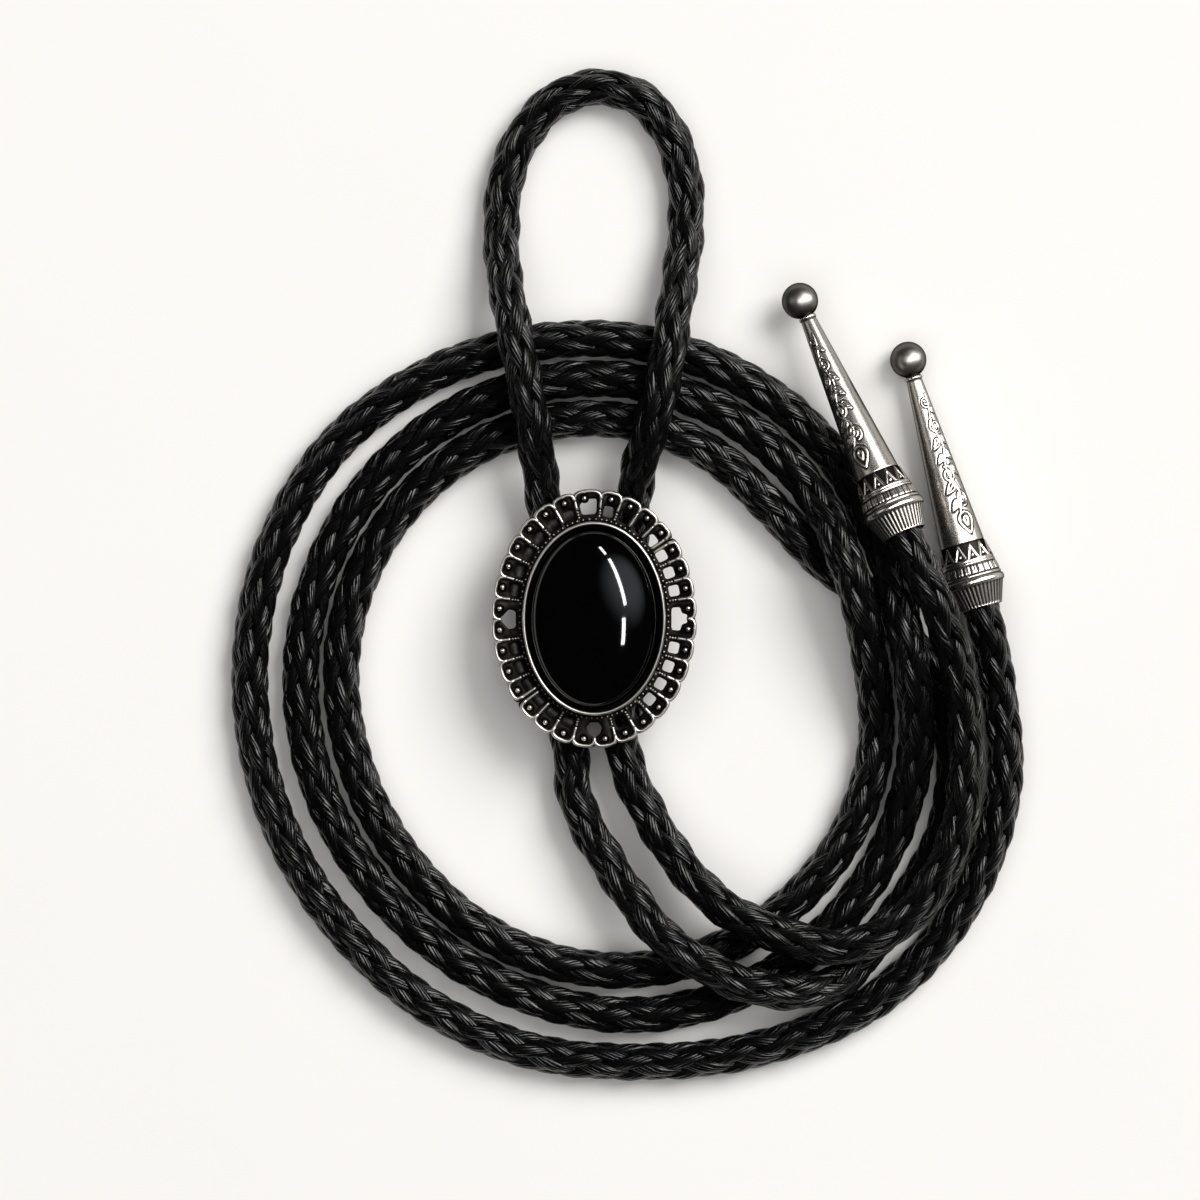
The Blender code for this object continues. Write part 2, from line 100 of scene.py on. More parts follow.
# The coil of the left tail: its middle, and the radius of each turn in millimetres at each angle in degrees
COIL_MIDDLE = (-1.3, -11.4)
COIL_COLUMNS = ("angle", "first_turn", "second_turn", "third_turn")
COIL_ROWS = (
    (45, 37.5, 43.3, 48.9),
    (75, 39.4, 45.1, 50.6),
    (105, 39.0, 44.5, 50.5),
    (135, 37.0, 42.5, 50.0),
    (165, 34.9, 40.5, 47.7),
    (195, 33.4, 39.3, 46.4),
    (225, 33.8, 39.4, 46.8),
    (255, 36.2, 41.8, 49.3),
    (285, 38.9, 45.4, 52.2),
    (315, 40.6, 47.0, 58.7),
    (345, 41.5, 47.1, 60.6),
    (375, 40.2, 45.6, 57.6),
)
COIL = [dict(zip(COIL_COLUMNS, row)) for row in COIL_ROWS]
COIL_STEP = 18
COIL_END = 2 * 360 + 333
CREST_ANGLES = (360 + 23, 720 + 9)
CREST_HALF_WIDTH = 32
CREST_HEIGHT = 6.6

# Braid: ten flat laces, five winding each way, each going over one and under one
BRAID_LEAD = 36.5 * MM         # length of one full turn of a lace
LACES_EACH_WAY = 5
LACE_MIDDLE = 2.46 * MM        # a lace's crown half way between over and under
LACE_SWING = 0.3 * MM          # how far it rises to the outside and dives below
LACE_ROUNDING = 0.6 * MM       # how far its edges are below its crown
LACE_DEPTH = 0.85 * MM
LACE_FILL = 0.97               # share of the spacing that a lace is wide
LACE_ACROSS = (-1.0, -0.68, -0.33, 0.0, 0.33, 0.68, 1.0)
LACE_CREASE = (0.0, 0.0, 0.06, 0.0, 0.06, 0.0, 0.0)      # two creases make each lace three strands, in mm
LACE_BACK = (0.55, -0.55)
LACE_SHARPNESS = 2.4           # power of the fall from its crown to its edges
LACE_LUMP = 0.09 * MM          # how much its crowns differ in height
LACE_TONES = (2, 9)            # added to the tone from lace to lace, and for one of the two ways
CORE_RADIUS = 1.45 * MM
CORE_STEP = 10                 # points of the line for each ring of the core
CORE_SIDES = 8
SECTIONS_PER_CROSSING = 3.9
STRANDS_SEEN = 5               # fine lines across each lace, in its bump
LACE_END = 1.7 * MM            # a lace's slanting end stays this far inside the cord's end
PRESSED = 0.02 * MM            # laces are flattened where they lie on the surface
CURVE_STEP = 0.4 * MM

# Slide
PLATE_BOTTOM = 8.3 * MM
PLATE_TOP = 9.3 * MM
PLATE_DROP = (PLATE_BOTTOM - PLATE_TOP) / MM
PLATE_SIDES = 96
OVAL_OUT = -0.1                         # the plain oval under the stone, from the bezel's foot
OVAL_POLISH = 0.2
STONE_HALF = (9.0 * MM, 12.5 * MM)
STONE_BASE = 9.6 * MM
STONE_EDGE = 1.0 * MM
STONE_DOME = 4.2 * MM
STONE_SIDES = 160
STONE_RINGS = 40
BEZEL_SIDES = 192
BEZEL_FOOT = (10.0 * MM, 13.5 * MM)     # outside of the bezel, where the openwork starts
OPENWORK_SIDE = 4.35 * MM               # from there to the edge, at the sides and at the ends
OPENWORK_END = 4.55 * MM
BEZEL_PROFILE = (   # out from the foot, height above the plate, and polish
    (0.0, -0.1, 0.0), (0.0, 1.2, 0.1), (-0.02, 1.75, 0.6), (-0.1, 2.08, 1.0), (-0.25, 2.2, 1.0),
    (-0.4, 2.1, 0.6), (-0.5, 1.85, 0.0), (-0.52, 1.5, 0.0), (-0.6, 1.4, 0.1), (-0.68, 1.3, 0.0),
    (-0.7, 1.0, 0.0), (-0.7, -0.1, 0.0),
)

# Light: the strips are given by where the stone shows their ends, in millimetres
WORLD_LIGHT = 0.02
WORLD_SEEN = 0.8               # a pale backdrop past the floor's edge, which lights nothing
FLOOR_HALF = 3.0
WARM_WHITE = (1, 0.99, 0.975)
STRIP_HEIGHT = 0.6
STRIP_WIDTH = 0.045
STRIP_POWER = 4.6              # for each metre of a strip
STRIPS = (((0.85, 9.85), (1.55, 9.0)), ((2.15, 8.15), (4.35, 1.75)), ((4.1, 0.1), (3.95, -3.6)))

# Petals, counted counterclockwise from the right; lengths from the bezel's foot are in millimetres
PETALS = 32
WIDE_PETAL = 8                 # the one at the top
PETAL_SHARES = [0.96] * WIDE_PETAL + [1.26] + [1.02] * 7 + [1.0] * 16
PETAL_LINE = 3.1               # where their widths are measured
PETAL_WIDTH = 2.9              # about what they come to there
TURN_STEPS = 720               # of the oval, for that measure
CELL_INNER = -0.2
CELL_EDGE = 4.35
CELL_NOTCH = 0.35
CELL_POINTS = 44
SCALLOP_POINTS = 32            # for each petal
WALL_POINTS = 12
CORNER_CUT = 0.14              # share of a window's side
CELL_SECTION = (   # share of the way from a cell's edge to its window, height above the plate, and polish
    (0.0, PLATE_DROP, 0.0), (0.0, -0.12, 0.25), (0.05, 0.0, 0.1), (0.9, 0.0, 0.0), (1.0, -0.1, 0.12),
    (1.0, PLATE_DROP, 0.0),
)


def both_sides(right):
    """A window's corners, from those on its right."""
    left = [(-x, y) for x, y in reversed(right)]
    return (left[-1], *right, *left[:-1])


# Windows: across in petals, and out in millimetres
PLAIN_WINDOW = both_sides(((0.3, 0.8), (0.28, 2.25)))
RIGHT_WINDOW = both_sides(((0.6, 0.8), (0.6, 2.05), (0.28, 2.25), (0.2, 3.0)))
LEFT_WINDOW = both_sides(((0.42, 0.9), (0.5, 1.9), (0.2, 2.6), (0.02, 3.2)))
BOTTOM_WINDOW = both_sides(((0.25, 0.9), (0.42, 1.6), (0.32, 2.3), (0.02, 3.0)))
TOP_WINDOW = ((-0.34, 1.0), (0.34, 1.0), (0.36, 2.4), (0.1, 3.0), (-0.34, 3.1))
SPECIAL_CELLS = (   # middle, half width and window
    (0.0, 1.0, RIGHT_WINDOW), (8.5, 0.5, TOP_WINDOW), (16.0, 1.0, LEFT_WINDOW), (24.0, 1.0, BOTTOM_WINDOW),
)
# Dark backings close the windows of these petals: painted shade standing in for the shadowed floor seen
# through them
SHADE_BACKED_PETALS = ((9, 15), (17, 23))    # their windows are recesses
SHADE_BACKING_SECTION = ((0.6, -0.45), (2.6, -0.45), (2.6, -0.8), (0.6, -0.8))
SHADE_BACKING_POLISH = 0.12
SHADE_BACKING_STEPS = 8              # for each petal
OPEN_WALLS = (0, 16, 24)       # inside the double cells
SMOOTH_WALLS = (5, 6, 10, 21)  # without granules
SPLIT_WALLS = (4, 20)          # two lines side by side
SPLIT = 0.13
RIM_RADIUS = 0.26
RIM_HEIGHT = 0.38              # its middle above the plate
RIM_TALL = 1.8                 # taller than wide
RIM_SIDES = 8
RIM_SHINE = (-0.2, 0.35)       # heights on its section where its polish starts, and where it is full
ARCH_FOOT = 2.9
ARCH_RISE = 1.18
ARCH_POINTS = 17
ARCH_POWERS = (0.62, 0.74)     # across and out; below 1 they make the arch squarer
RIB_START = 3.05
RIB_END = 1.85
SMOOTH_RIB_END = 0.8
RIB_POINTS = 7
RIB_RADIUS = 0.85 * RIM_RADIUS
RIB_GRANULES = (1.5, 1.12, 0.74)
GRANULE_RADIUS = 0.2
GRANULE_HEIGHT = 0.3
BEAD_OUT = 3.15
BEAD_RADIUS = 0.66
BEAD_HEIGHT = 0.1
# radius of the polished cap on each bead, a painted highlight
BEAD_HIGHLIGHT_CAP = 0.34
WIDE_PETAL_BEAD = 0.13         # moved to the left of its petal's middle
RING_OUT = 0.34
RING_RADIUS = 0.17
RING_HEIGHT = 0.12
RING_PER_PETAL = 3

# Tip: its rows from the ball to the open end, and its ornament
TIP_COLUMNS = 200
BALL_ROWS = 26
CONE_ROWS = 320
BAND_ROWS = 50
RING_ROWS = 9
SKIRT_ROWS = 16
BALL_POLISH = 0.28
CONE_POLISH = 0.7              # where the vine is, only the cone's rows have it
SKIRT_POLISH = 0.4             # only the skirt's rows have it
COLLAR_SECTION = (   # below the ball, out from the neck, and polish
    (0.12, 0.02, 0.0), (0.22, 0.16, 0.7), (0.4, 0.21, 1.0), (0.58, 0.15, 0.7), (0.66, -0.02, 0.0),
    (0.76, 0.04, 0.2),
)
MOUTH_SECTION = (    # along the tip, out from the mouth's inside, and polish
    (0.1, 0.32, 0.9), (0.0, 0.24, 0.9), (0.0, 0.08, 0.5), (0.1, 0.0, 0.0), (1.5, 0.0, 0.0),
    (TIP_SOCKET / MM, 0.0, 0.0),
)
FLUTES = 40
FLUTE_DEPTH = 0.13
VINE_TOP = 31.4                # along the tip, in millimetres
VINE_BOTTOM = 10.4
VINE_STEP = (VINE_TOP - VINE_BOTTOM) / 10
VINE_HALF_ANGLE = 0.6
VINE_LINE = (0.1, 0.17)        # half width of its line at the top and at the bottom
VINE_RELIEF = 0.13
VINE_GROOVE = 0.03
VINE_POLISH = 0.8
VINE_SIDES = (0.0, math.pi)
VINE_TURN = {"tip_left": 155, "tip_right": 208}     # degrees from below, towards the left
VINE_CURLS = (      # middle, radius, angle of its start, turns and hand
    ((-0.2, 0.75), 0.75, 80, 1.2, 1), ((0.1, 2.45), 0.85, 270, 1.4, -1),
    ((-0.25, 5.85), 0.72, 250, 1.4, 1), ((0.3, 7.55), 0.6, 80, 1.3, -1),
)
VINE_LEAVES = (     # foot, point and width
    ((0.2, 1.2), (0.85, 1.55), 0.2), ((0.2, 3.2), (0.95, 3.7), 0.24), ((-0.1, 3.4), (-0.95, 4.0), 0.24),
    ((0.1, 4.2), (0.9, 4.8), 0.24), ((-0.2, 4.5), (-0.9, 5.0), 0.22), ((0.3, 5.3), (0.95, 5.9), 0.22),
    ((0.0, 6.5), (-0.95, 7.1), 0.24), ((-0.2, 7.7), (-0.85, 8.3), 0.24),
)
VINE_BUD = (((0.0, 8.5), (0.05, 10.0), 0.4), ((0.02, 8.8), (0.04, 9.45), 0.28))
BAND_TRIANGLES = 12
BAND_MIDDLE = 3.7              # the radius in millimetres at which its lines are measured
BAND_RELIEF = 0.14
BAND_LINE = 0.13


def smooth_step(x):
    x = np.clip(x, 0, 1)
    return x * x * (3 - 2 * x)


def unit(v):
    return v / np.maximum(np.linalg.norm(v, axis=-1, keepdims=True), 1e-12)


def full_turn(count):
    """Angles at equal steps round a circle."""
    return np.linspace(0, 2 * math.pi, count, endpoint=False)


def run_along(line):
    """Each point's distance along the line."""
    return np.concatenate(([0], np.cumsum(np.linalg.norm(np.diff(line, axis=0), axis=1))))


def read_line(line, run, at):
    """The line's points at some distances along it."""
    return np.column_stack([np.interp(at, run, column) for column in line.T])


# Meshes

def add_object(name, data):
    made = bpy.data.objects.new(name, data)
    bpy.context.scene.collection.objects.link(made)
    return made


def mesh_object(name, points, faces, material, attributes=None):
    """A smooth shaded mesh object that rides on the tie's one body."""
    mesh = bpy.data.meshes.new(name)
    mesh.from_pydata(np.asarray(points, dtype=float).tolist(), [], [tuple(map(int, f)) for f in faces])
    for key, values in (attributes or {}).items():
        kind, field = ("FLOAT", "value") if values.ndim == 1 else ("FLOAT_VECTOR", "vector")
        layer = mesh.attributes.new(key, kind, "POINT")
        layer.data.foreach_set(field, values.astype(np.float32).ravel())
    mesh.shade_smooth()
    mesh.materials.append(material)
    made = add_object(name, mesh)
    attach(made, "root")
    return made


class Builder:
    """Collects the closed shapes of one piece, and how polished each of their points is."""

    def __init__(self):
        self.points, self.faces, self.polish = [], [], []
        self.count = 0

    def add(self, points, faces, polish):
        """Adds one closed shape, and turns its faces out if they face in."""
        points = np.asarray(points, dtype=float).reshape(-1, 3)
        corners = np.array([face[:3] for face in faces] + [(f[0], f[2], f[3]) for f in faces if len(f) > 3])
        a, b, c = (points[corners[:, k]] - points.mean(axis=0) for k in range(3))
        if np.einsum("ij,ij->i", a, np.cross(b, c)).sum() < 0:
            faces = [tuple(reversed(face)) for face in faces]
        self.points.append(points)
        self.faces.extend([tuple(i + self.count for i in face) for face in faces])
        self.polish.append(np.broadcast_to(polish, len(points)).astype(float))
        self.count += len(points)

    def make(self, name, material, place=None):
        """The finished piece, moved by the matrix place if there is one."""
        points = np.concatenate(self.points)
        if place is not None:
            turn = np.array(place.to_3x3())
            points = points @ turn.T + np.array(place.translation)
        return mesh_object(name, points, self.faces, material, {"polish": np.concatenate(self.polish)})


def grid_faces(rows, columns, closed=False):
    """Quads of a grid, round each row and from row to row; closed joins the last row to the first."""
    faces = []
    for i in range(rows if closed else rows - 1):
        for j in range(columns):
            a, b = i * columns + j, i * columns + (j + 1) % columns
            c, d = (i + 1) % rows * columns + (j + 1) % columns, (i + 1) % rows * columns + j
            faces.append((a, b, c, d))
    return faces


def end_faces(rows, columns):
    """The faces that close the two ends of such a grid, wound as it is."""
    last = (rows - 1) * columns
    return [tuple(reversed(range(columns))), tuple(last + i for i in range(columns))]


def dome_faces(rings, sides):
    """Faces of a first point, rings of points and a last point, as on a globe."""
    last = 1 + (rings - 1) * sides
    faces = [(0, 1 + j, 1 + (j + 1) % sides) for j in range(sides)]
    faces += [tuple(1 + i for i in reversed(face)) for face in grid_faces(rings, sides)]
    return faces + [(last + (j + 1) % sides, last + j, last + sides) for j in range(sides)]


def wire(shape, points, radius):
    """A raised wire along points; its side away from the ground is polished."""
    along = unit(np.gradient(points, axis=0))
    side = unit(np.cross(along, UP))
    out = np.cross(side, along)
    turn = full_turn(RIM_SIDES)
    ring = (np.cos(turn)[None, :, None] * side[:, None, :]
            + RIM_TALL * np.sin(turn)[None, :, None] * out[:, None, :])
    faces = grid_faces(len(points), RIM_SIDES) + end_faces(len(points), RIM_SIDES)
    low, high = RIM_SHINE
    polish = smooth_step((np.sin(turn) - low) / (high - low))
    shape.add(points[:, None, :] + radius * ring, faces, np.tile(polish, len(points)))


def bead(shape, middle, radius, rings=6, sides=12, shine=(0.25, 0.95), height=1.0):
    """A round bead; its side away from the ground is polished."""
    side = unit(np.cross(UP, (0.31, 0.95, 0.07)))
    third = np.cross(UP, side)
    lean = np.linspace(0, math.pi, rings + 2)[1:-1]
    turn = full_turn(sides)
    flat = np.cos(turn)[:, None] * side + np.sin(turn)[:, None] * third
    top = height * np.array(UP)
    body = np.sin(lean)[:, None, None] * flat[None] + np.cos(lean)[:, None, None] * top
    points = np.concatenate(([top], body.reshape(-1, 3), [-top])) * radius + middle
    low, high = shine
    heights = np.concatenate(([1.0], np.repeat(np.cos(lean), sides), [-1.0]))
    shape.add(points, dome_faces(rings, sides), smooth_step((heights - low) / (high - low)))


# Routes

def tip_frame(place):
    """The tip's own frame: the middle of its open end, with +Z along it to the ball, down its slope."""
    ring_at = TIP_SKIRT + TIP_RING / 2
    ball_at = TIP_LENGTH - TIP_BALL_RADIUS
    ring_height = TIP_RING_RADIUS + place["under_ring"] * MM
    ball_height = TIP_BALL_RADIUS + place["under_ball"] * MM
    slope = math.asin((ring_height - ball_height) / (ball_at - ring_at))
    turn = Euler((0, math.pi / 2 + slope, math.radians(place["heading"]))).to_matrix().to_4x4()
    x, y = place["mouth"]
    return Matrix.Translation((x * MM, y * MM, ring_height + ring_at * math.sin(slope))) @ turn


def cord_in_tip(place):
    """A cord's last two points, straight along a tip: just outside its open end, and inside it."""
    matrix = tip_frame(place)
    return [tuple(matrix @ Vector((0, 0, along)) / MM) for along in (-CORD_BEFORE_TIP, CORD_IN_TIP)]


def cord_in_clip(side, towards):
    """A cord's first two points in millimetres: in the clip's middle, and just past its end."""
    x = side * CORD_SPREAD / 2 / MM
    z = (CLIP_FLOOR + CORD_CLEARANCE + CORD_DIAMETER / 2) / MM
    far = CLIP_LENGTH / 2 + CORD_BEYOND_CLIP
    return [(x, (CLIP_MIDDLE_Y + towards * along) / MM, z) for along in (GAP / 2, far)]


def hermite(knots, values, at):
    """Values read smoothly between knots."""
    slope = np.gradient(values, knots, axis=0)
    span = np.clip(np.searchsorted(knots, at, side="right") - 1, 0, len(knots) - 2)
    width = knots[span + 1] - knots[span]
    t = (at - knots[span]) / width
    if values.ndim > 1:
        width, t = width[:, None], t[:, None]
    return ((1 + 2 * t) * (1 - t) ** 2 * values[span] + t * (1 - t) ** 2 * width * slope[span]
            + t * t * (3 - 2 * t) * values[span + 1] + t * t * (t - 1) * width * slope[span + 1])


def smooth_curve(points):
    """Evenly spaced points on a smooth curve through chosen points in millimetres."""
    knots = np.array([tuple(p) for p in points]) * MM
    run = run_along(knots)
    curve = hermite(run, knots, np.linspace(0, run[-1], round(run[-1] / CURVE_STEP) * 3))
    curve[:, 2] = np.maximum(curve[:, 2], CORD_DIAMETER / 2 + SURFACE_LIFT)
    run = run_along(curve)
    return read_line(curve, run, np.linspace(0, run[-1], round(run[-1] / CURVE_STEP) + 1))


def coil_points():
    """The coil's points in millimetres; a turn rises where it crosses over the cord that comes in."""
    turns = COIL_COLUMNS[1:]
    knots = np.array([row["angle"] + 360.0 * turn for turn in range(len(turns)) for row in COIL])
    radii = np.array([row[name] for name in turns for row in COIL])
    angles = np.arange(COIL[0]["angle"], COIL_END + 1, COIL_STEP)
    radius = hermite(knots, radii, angles)
    height = np.full(len(angles), CORD_DIAMETER / 2 / MM)
    for crest in CREST_ANGLES:
        away = np.minimum(abs(angles - crest) / CREST_HALF_WIDTH, 1)
        height += CREST_HEIGHT * (0.5 + 0.5 * np.cos(math.pi * away))
    turn = np.radians(angles)
    x, y = COIL_MIDDLE
    return np.column_stack((x + radius * np.cos(turn), y + radius * np.sin(turn), height))


def neck_line():
    inside, beyond = cord_in_clip(-1, 1)
    last_inside, last_beyond = cord_in_clip(1, 1)
    return smooth_curve([inside, beyond, *NECK_ROUTE, last_beyond, last_inside])


def right_tail_line():
    return smooth_curve([*cord_in_clip(1, -1), *RIGHT_TAIL_ROUTE, *cord_in_tip(TIP_LEFT)])


def left_tail_line():
    return smooth_curve(
        [*cord_in_clip(-1, -1), *LEFT_TAIL_START, *coil_points(), *LEFT_TAIL_END, *cord_in_tip(TIP_RIGHT)])


# Braid

def carried_frame(line):
    """Two directions across the line at each point, carried along without twist."""
    along = unit(np.gradient(line, axis=0))
    side = np.empty_like(line)
    side[0] = unit(np.cross(along[0], UP))
    for i in range(1, len(line)):
        side[i] = unit(side[i - 1] - along[i] * (side[i - 1] @ along[i]))
    return side, np.cross(along, side)


def braided_cord(name, line, material, seed):
    """Laces round the line; each point stores its place across and along its lace, and a random tone."""
    random = np.random.default_rng(seed)
    side, up = carried_frame(line)
    run = run_along(line)
    crossing = BRAID_LEAD / (2 * LACES_EACH_WAY)
    first, last = LACE_END / crossing, (run[-1] - LACE_END) / crossing
    count = round((last - first) * SECTIONS_PER_CROSSING) + 1
    q = np.linspace(first, last, count)
    across = np.array([*LACE_ACROSS, *LACE_BACK])
    wide, top = len(across), len(LACE_ACROSS)
    lean = across[None, :] * LACE_FILL / (2 * LACES_EACH_WAY) * np.ones((count, 1))
    s = np.clip(crossing * q[:, None] + BRAID_LEAD * lean / 2, 0, run[-1])
    guide = read_line(np.hstack((line, side, up)), run, s.ravel()).reshape(count, wide, 9)
    length = (crossing * q[:, None] / MM * np.ones((1, wide))).ravel()
    faces = grid_faces(count, wide) + end_faces(count, wide)
    all_points, all_faces, all_data = [], [], []
    for way in (1, -1):
        for index in range(LACES_EACH_WAY):
            turn = way * math.pi * (q[:, None] / LACES_EACH_WAY - lean) + 2 * math.pi * index / LACES_EACH_WAY
            over = way * np.cos(math.pi * q)
            crest = np.round((q - (way < 0)) / 2).astype(int)
            tones = random.random(crest.max() + 3)
            lump = (tones[crest + 1] - 0.5) * np.maximum(over, 0) ** 2
            crown = LACE_MIDDLE + LACE_SWING * over + LACE_LUMP * lump
            radius = crown[:, None] - LACE_ROUNDING * np.abs(across[None, :]) ** LACE_SHARPNESS
            radius[:, :top] -= MM * np.array(LACE_CREASE)
            radius[:, top:] = (crown - LACE_DEPTH)[:, None]
            outward = unit(np.cos(turn)[..., None] * guide[..., 3:6]
                           + np.sin(turn)[..., None] * guide[..., 6:9])
            start = len(all_points) * count * wide
            all_points.append((guide[..., 0:3] + radius[..., None] * outward).reshape(-1, 3))
            all_faces.extend([tuple(start + i for i in face[::-way]) for face in faces])
            tone = np.repeat(tones[crest + 1], wide) + LACE_TONES[0] * index + LACE_TONES[1] * (way > 0)
            all_data.append(np.column_stack((np.tile(across, count), length, tone)))
    rings = np.unique(np.append(np.arange(0, len(line), CORE_STEP), len(line) - 1))
    turn = full_turn(CORE_SIDES)[None, :, None]
    ring = np.cos(turn) * side[rings, None, :] + np.sin(turn) * up[rings, None, :]
    start = len(all_points) * count * wide
    faces = grid_faces(len(rings), CORE_SIDES) + end_faces(len(rings), CORE_SIDES)
    all_points.append((line[rings, None, :] + CORE_RADIUS * ring).reshape(-1, 3))
    all_faces.extend([tuple(start + i for i in reversed(face)) for face in faces])
    all_data.append(np.zeros((len(rings) * CORE_SIDES, 3)))
    points = np.concatenate(all_points)
    points[:, 2] = np.maximum(points[:, 2], PRESSED)
    return mesh_object(name, points, all_faces, material, {"lace": np.concatenate(all_data)})


# Materials

class Nodes:
    """Short ways to make and join shader nodes of one material."""

    def __init__(self, name):
        self.material = bpy.data.materials.new(name)
        self.material.use_nodes = True
        self.tree = self.material.node_tree
        self.shader = self.tree.nodes["Principled BSDF"]

    def node(self, kind, inputs=None, **settings):
        made = self.tree.nodes.new("ShaderNode" + kind)
        for key, value in settings.items():
            setattr(made, key, value)
        for key, value in (inputs or {}).items():
            self.put(value, made.inputs[key])
        return made

    def put(self, value, socket):
        if isinstance(value, bpy.types.NodeSocket):
            self.tree.links.new(value, socket)
        else:
            socket.default_value = value

    def math(self, operation, a, b=0.5, clamp=False):
        made = self.node("Math", operation=operation, use_clamp=clamp)
        self.put(a, made.inputs[0])
        self.put(b, made.inputs[1])
        return made.outputs[0]

    def spread(self, value, low, high, to_low=0.0, to_high=1.0):
        made = self.node("MapRange", {"Value": value, "From Min": low, "From Max": high,
                                      "To Min": to_low, "To Max": to_high})
        return made.outputs["Result"]

    def noise(self, vector, scale, detail=2.0, roughness=0.5):
        made = self.node("TexNoise", {"Vector": vector, "Scale": scale, "Detail": detail,
                                      "Roughness": roughness})
        return made.outputs["Fac"]

    def place(self):
        return self.node("TexCoord").outputs["Object"]

    def mix(self, share, first, second):
        made = self.node("Mix", data_type="RGBA")
        self.put(share, made.inputs["Factor"])
        self.put(first, made.inputs[6])
        self.put(second, made.inputs[7])
        return made.outputs[2]

    def bump(self, height, strength, distance, normal=None):
        inputs = {"Height": height, "Strength": strength, "Distance": distance}
        if normal is not None:
            inputs["Normal"] = normal
        return self.node("Bump", inputs).outputs["Normal"]

    def finish(self, **inputs):
        for key, value in inputs.items():
            self.put(value, self.shader.inputs[key.replace("_", " ")])
        return self.material


def grey(value, warm=0.0):
    return (value * (1 + warm), value, value * (1 - warm), 1.0)


def leather():
    """Black lace leather: long creases along each lace, fine grain, and worn grey edges."""
    n = Nodes("braided_leather")
    lace = n.node("Attribute", attribute_name="lace").outputs["Vector"]
    axes = n.node("SeparateXYZ", {"Vector": lace}).outputs
    across = axes["X"]

    def streaks(scales, detail):
        """Noise drawn out along each lace."""
        scaled = [n.math("MULTIPLY", value, scale) for value, scale in zip(axes, scales)]
        return n.noise(n.node("CombineXYZ", dict(zip("XYZ", scaled))).outputs[0], 1.0, detail)

    wander = streaks((1.6, 0.28, 7.3), 1.5)
    fine = streaks((3.4, 0.42, 3.1), 2.0)
    grain = n.noise(n.place(), 3200.0, 2.0, 0.6)
    wave = n.math("ADD", n.math("MULTIPLY", across, STRANDS_SEEN * math.pi / 2),
                  n.spread(wander, 0, 1, -2.6, 2.6))
    strands = n.math("POWER", n.math("ABSOLUTE", n.math("SINE", wave)), 0.6)
    normal = n.bump(strands, 0.7, 0.11 * MM)
    normal = n.bump(fine, 0.4, 0.18 * MM, normal)
    normal = n.bump(grain, 0.1, 0.03 * MM, normal)
    worn = n.math("MULTIPLY", n.spread(fine, 0.5, 0.75), n.spread(n.math("ABSOLUTE", across), 0.3, 1.0))
    colour = n.mix(worn, grey(0.0018), grey(0.007))
    roughness = n.math("ADD", n.spread(fine, 0.3, 0.7, 0.18, 0.32), n.spread(grain, 0.3, 0.7, -0.03, 0.05))
    return n.finish(Base_Color=colour, Roughness=roughness, Normal=normal, Specular_IOR_Level=0.42)


TARNISH = (0.012, 0.0105, 0.009, 1)


def antique_silver(name, bright, smooth, rough, wear, edge):
    """Silver that is dark where it isn't rubbed; the polish of each point says where it is."""
    n = Nodes(name)
    polish = n.node("Attribute", attribute_name="polish").outputs["Fac"]
    place = n.place()
    cloud = n.noise(place, 900.0, 4.0, 0.6)
    fine = n.noise(place, 5200.0, 3.0, 0.6)
    share = n.math("ADD", polish, n.spread(cloud, 0.25, 0.75, -wear, wear), clamp=True)
    share = n.math("MULTIPLY", share, n.spread(polish, 0.0, 0.25), clamp=True)
    colour = n.mix(share, TARNISH, bright)
    roughness = n.math("ADD", n.spread(share, 0, 1, rough, smooth), n.spread(fine, 0.3, 0.7, -0.03, 0.05))
    normal = n.bump(fine, 0.12, 0.03 * MM, n.bump(cloud, 0.1, 0.06 * MM))
    return n.finish(Base_Color=colour, Metallic=1.0, Roughness=roughness, Normal=normal,
                    Specular_Tint=grey(edge))


def black_stone():
    n = Nodes("black_stone")
    place = n.place()
    cloud = n.noise(place, 160.0, 3.0, 0.5)
    fine = n.noise(place, 2600.0, 2.0, 0.5)
    colour = n.mix(n.spread(cloud, 0.4, 0.8), (0.0002, 0.0002, 0.0003, 1), (0.0006, 0.0007, 0.0009, 1))
    return n.finish(Base_Color=colour, Roughness=n.spread(fine, 0.2, 0.8, 0.035, 0.06),
                    Normal=n.bump(cloud, 0.03, 0.1 * MM))


def clip_metal():
    n = Nodes("clip_metal")
    place = n.place()
    stretched = n.node("Mapping", {"Vector": place, "Scale": (400.0, 9000.0, 9000.0)}).outputs[0]
    lines = n.noise(stretched, 1.0, 2.0, 0.5)
    cloud = n.noise(place, 300.0, 3.0, 0.5)
    colour = n.mix(n.spread(cloud, 0.3, 0.7), grey(0.30, 0.03), grey(0.44, 0.03))
    return n.finish(Base_Color=colour, Metallic=1.0, Roughness=n.spread(lines, 0.3, 0.7, 0.26, 0.42),
                    Normal=n.bump(lines, 0.2, 0.02 * MM))


def pale_floor():
    n = Nodes("pale_floor")
    cloud = n.noise(n.place(), 30.0, 2.0, 0.5)
    colour = n.mix(cloud, (0.86, 0.852, 0.835, 1), (0.875, 0.867, 0.85, 1))
    return n.finish(Base_Color=colour, Roughness=0.9, Specular_IOR_Level=0.1)


# Camera and cords

def make_camera():
    data = bpy.data.cameras.new("camera")
    data.sensor_width = SENSOR
    data.lens = SENSOR * VIEW_DISTANCE / VIEW_WIDTH
    data.clip_start = 0.05
    data.clip_end = 20.0
    camera = add_object("camera", data)
    camera.location = Vector(VIEW_MIDDLE) + Vector((0, 0, VIEW_DISTANCE))
    bpy.context.scene.camera = camera


